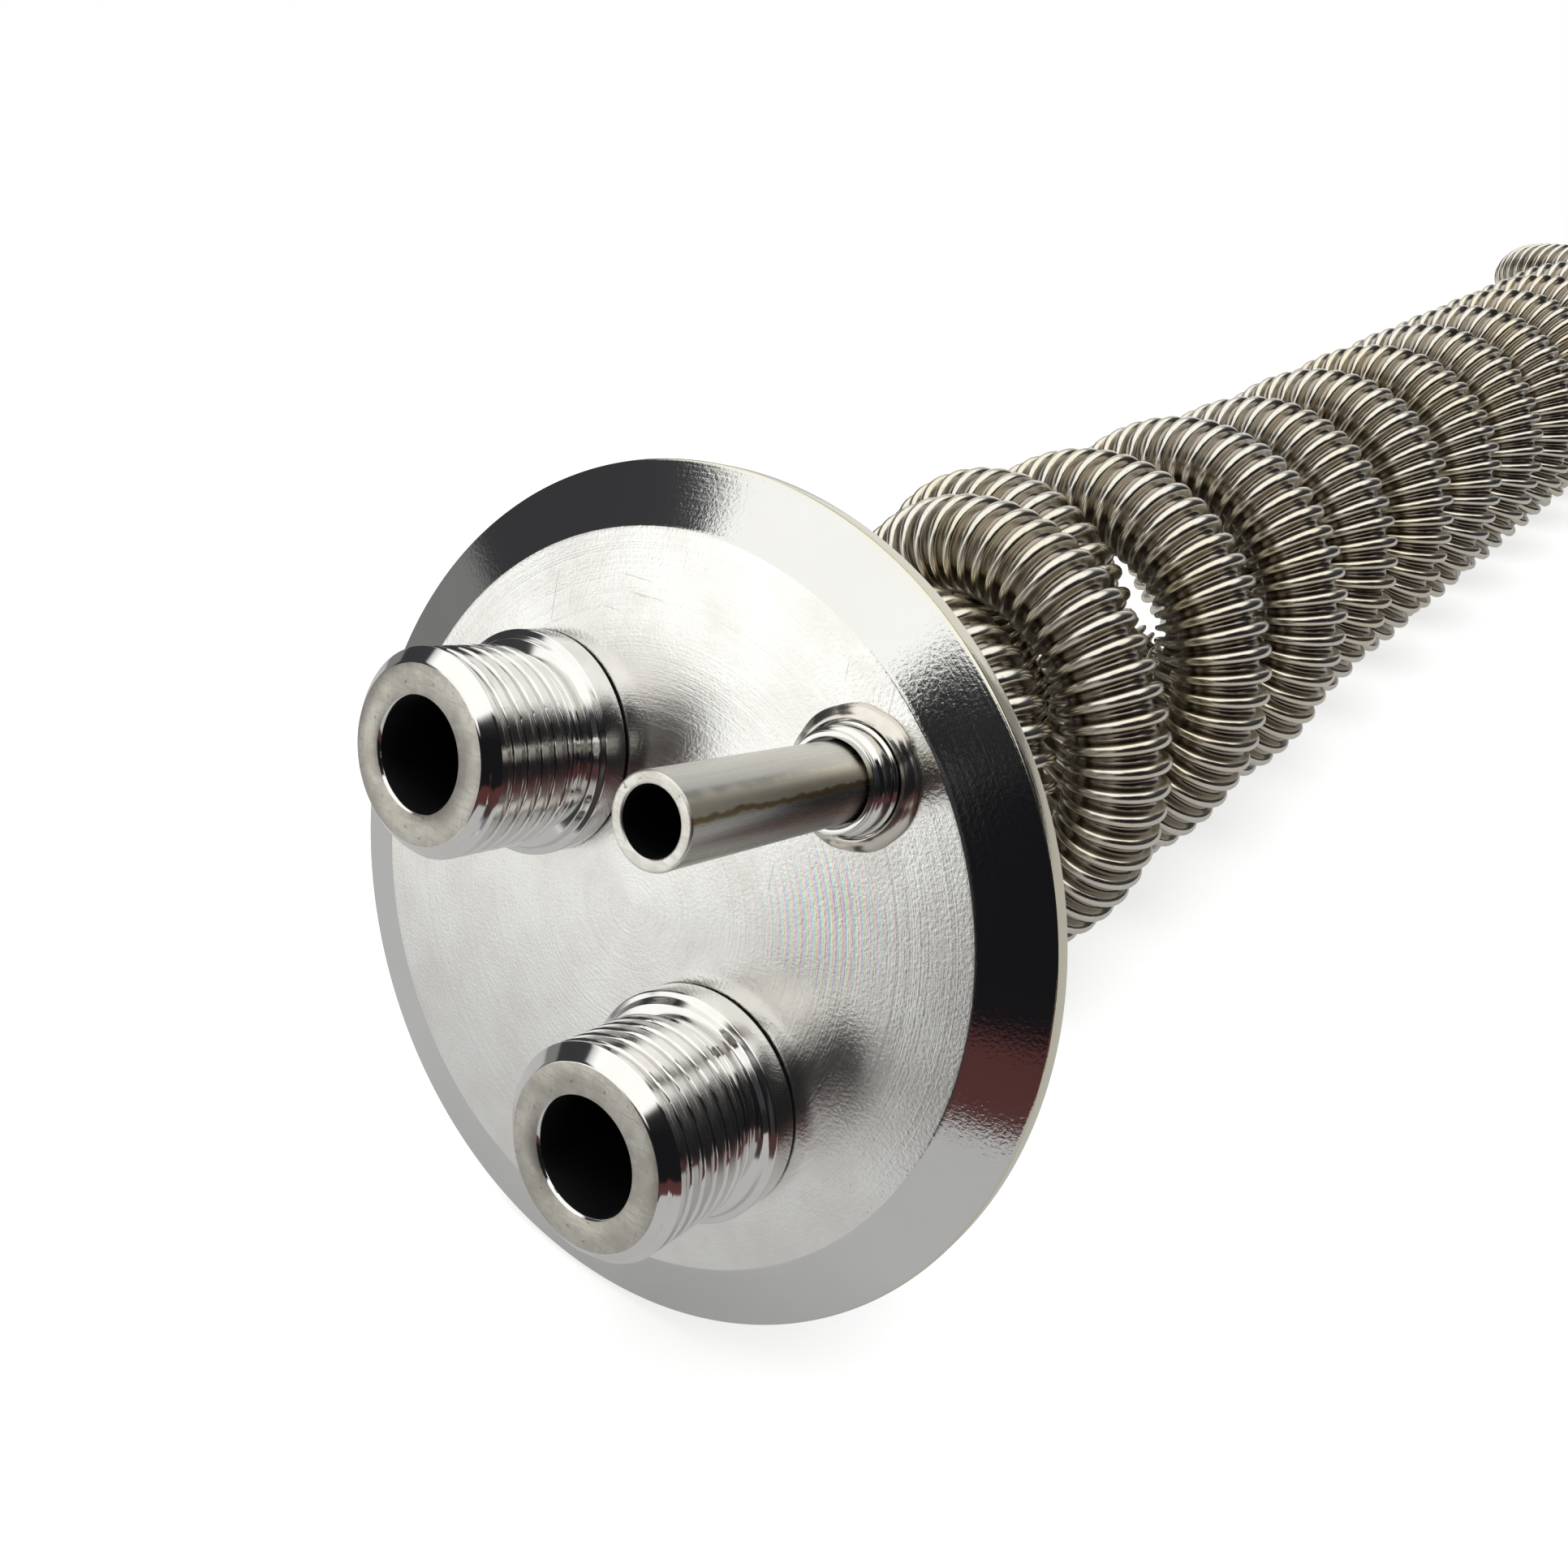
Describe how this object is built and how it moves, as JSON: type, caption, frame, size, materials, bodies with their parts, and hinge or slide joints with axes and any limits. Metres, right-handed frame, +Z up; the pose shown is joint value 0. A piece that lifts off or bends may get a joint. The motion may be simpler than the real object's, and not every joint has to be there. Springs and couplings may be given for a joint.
{
  "type": "immersion wort chiller",
  "caption": "Round clamp plate with two threaded water ports and a small stub tube, carrying a long coil of corrugated steel hose that returns up its own centre.",
  "frame": {"origin": "centre of the plate's flat ported face", "axes": "+Z up, +Y along the coil away from the plate, +X to the right as seen from the plate's ported side; the chiller lies on its side and the plate leans back on its rim"},
  "size_m": [0.0906, 0.4364, 0.0857],
  "materials": {
    "turned_steel": "lathe-turned stainless with fine concentric marks",
    "polished_steel": "bright turned stainless thread with a matt end face",
    "weld_steel": "rippled bright weld bead",
    "stub_steel": "fine brushed tube with a straw-yellow heat tint",
    "hose_steel": "bright corrugated stainless with a warm straw tint on the crests"
  },
  "bodies": {
    "root": {"plate": "turned_steel", "inlet_nipple": "polished_steel", "outlet_nipple": "polished_steel", "inlet_back_weld": "weld_steel", "outlet_back_weld": "weld_steel", "inlet_hose_weld": "weld_steel", "outlet_hose_weld": "weld_steel", "inlet_end_ring": "turned_steel", "outlet_end_ring": "turned_steel", "stub_tube": "stub_steel", "stub_collar": "turned_steel", "stub_face_weld": "weld_steel", "stub_back_weld": "weld_steel", "coil_hose": "hose_steel"}
  },
  "joints": []
}
